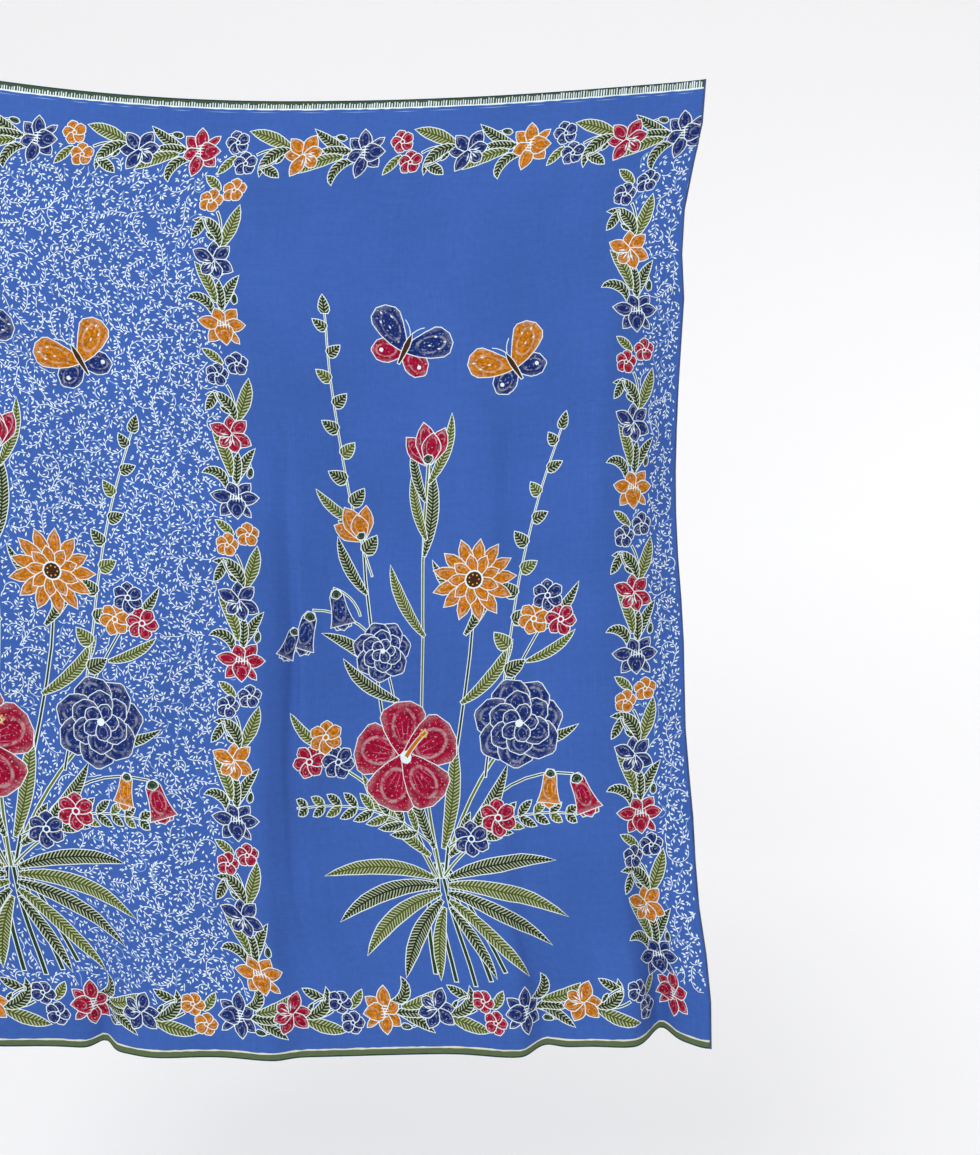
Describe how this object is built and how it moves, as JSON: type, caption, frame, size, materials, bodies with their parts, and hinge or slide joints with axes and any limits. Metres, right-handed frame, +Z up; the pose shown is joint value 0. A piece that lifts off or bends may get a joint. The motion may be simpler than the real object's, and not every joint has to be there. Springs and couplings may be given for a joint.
{
  "type": "sarong cloth held up by two hand grips",
  "caption": "Long rectangle of printed cotton, doubled over, hanging from two hand grips with soft vertical folds and a wavy lower edge.",
  "frame": {"origin": "right-hand grip, 15 mm below the top edge and 15 mm in from the right end, midway between the two stretches", "axes": "+X to the right of someone who looks at the front stretch, +Y away from them, +Z up"},
  "size_m": [1.0186, 0.0883, 1.108],
  "materials": {
    "printed_cotton": "thin plain-woven cotton, matt with a faint sheen, resist-dyed in cornflower blue with a flower border, narrow flower columns and a white leaf ground",
    "end_hem": "the same cotton, rolled narrow and dyed navy"
  },
  "bodies": {
    "root": {"front_stretch": "printed_cotton", "back_stretch": "printed_cotton", "front_end_hem": "end_hem", "back_end_hem": "end_hem"}
  },
  "joints": []
}
